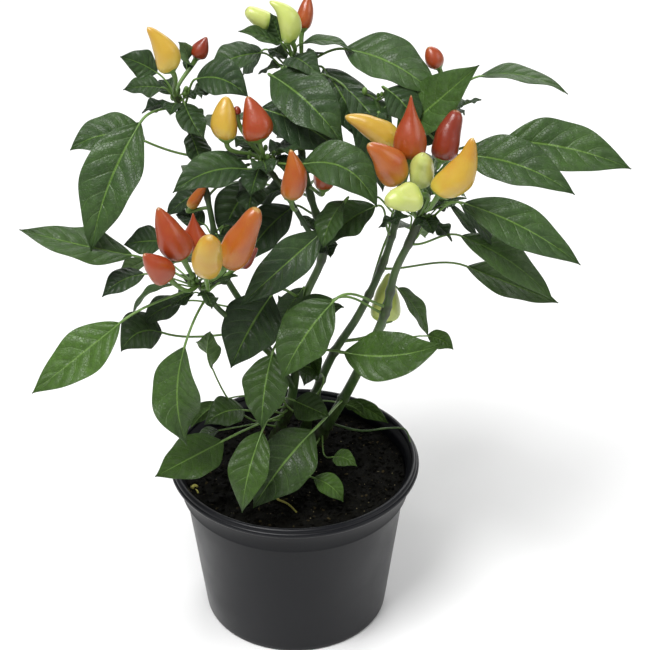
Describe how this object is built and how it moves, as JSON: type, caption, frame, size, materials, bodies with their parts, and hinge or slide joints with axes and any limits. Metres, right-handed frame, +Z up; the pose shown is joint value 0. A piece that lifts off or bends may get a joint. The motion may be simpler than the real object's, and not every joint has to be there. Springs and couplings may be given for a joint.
{
  "type": "potted chilli pepper plant",
  "caption": "Leafy ornamental chilli pepper plant with upright conical fruits in pale yellow to red, in a round black tapered nursery pot.",
  "frame": {"origin": "centre of the pot's flat base, on the surface it stands on", "axes": "+Z up, +X to the right and +Y to the back as the plant is seen from its fullest side"},
  "size_m": [0.286, 0.1779, 0.3296],
  "materials": {
    "pot_plastic": "satin black moulded plastic",
    "potting_soil": "loose damp potting mix, matt",
    "green_stem": "smooth ribbed green stem",
    "leaf_green": "quilted leaf with a soft waxy sheen",
    "fruit_pale": "smooth waxy skin, pale",
    "fruit_yellow": "smooth waxy skin, yellow",
    "fruit_orange": "smooth waxy skin, orange",
    "fruit_vermilion": "smooth waxy skin, vermilion",
    "fruit_red": "smooth waxy skin, red"
  },
  "bodies": {
    "root": {"pot": "pot_plastic", "soil": "potting_soil", "stem_centre": "green_stem", "stem_right": "green_stem", "stem_middle": "green_stem", "leaf_shoot_left": "leaf_green", "leaf_left_back": "leaf_green", "leaf_left_hanging": "leaf_green", "leaf_crown_left": "leaf_green", "leaf_crown_front": "leaf_green", "leaf_crown_back": "leaf_green", "leaf_crown_right": "leaf_green", "leaf_centre_dark": "leaf_green", "leaf_inner_long": "leaf_green", "leaf_inner_dark": "leaf_green", "leaf_centre_light": "leaf_green", "leaf_centre_long": "leaf_green", "leaf_centre_left": "leaf_green", "leaf_middle_dark": "leaf_green", "leaf_middle_broad": "leaf_green", "leaf_middle_right": "leaf_green", "leaf_left_far": "leaf_green", "leaf_left_long": "leaf_green", "leaf_left_dark": "leaf_green", "leaf_left_low": "leaf_green", "leaf_rim_left": "leaf_green", "leaf_front_upper": "leaf_green", "leaf_front_hanging": "leaf_green", "leaf_front_broad": "leaf_green", "leaf_right_far": "leaf_green", "leaf_right_upper": "leaf_green", "leaf_right_middle": "leaf_green", "leaf_right_lower": "leaf_green", "leaf_right_lowest": "leaf_green", "leaf_right_raised": "leaf_green", "leaf_right_arching": "leaf_green", "leaf_back_high": "leaf_green", "leaf_back_crown": "leaf_green", "leaf_back_middle": "leaf_green", "leaf_back_left": "leaf_green", "leaf_back_right": "leaf_green", "leaf_back_low": "leaf_green", "fruit_shoot_yellow": "fruit_yellow", "fruit_crown_pale": "fruit_pale", "fruit_crown_red": "fruit_vermilion", "fruit_right_small": "fruit_vermilion", "fruit_inner_orange": "fruit_orange", "fruit_inner_red": "fruit_vermilion", "fruit_centre_orange": "fruit_orange", "fruit_right_long": "fruit_orange", "fruit_right_red": "fruit_vermilion", "fruit_right_spiked": "fruit_red", "fruit_right_dark": "fruit_red", "fruit_right_yellow": "fruit_yellow", "fruit_right_pale": "fruit_pale", "fruit_left_red": "fruit_vermilion", "fruit_left_small": "fruit_vermilion", "fruit_left_orange": "fruit_orange", "fruit_left_yellow": "fruit_yellow", "fruit_left_lowest": "fruit_vermilion"}
  },
  "joints": []
}
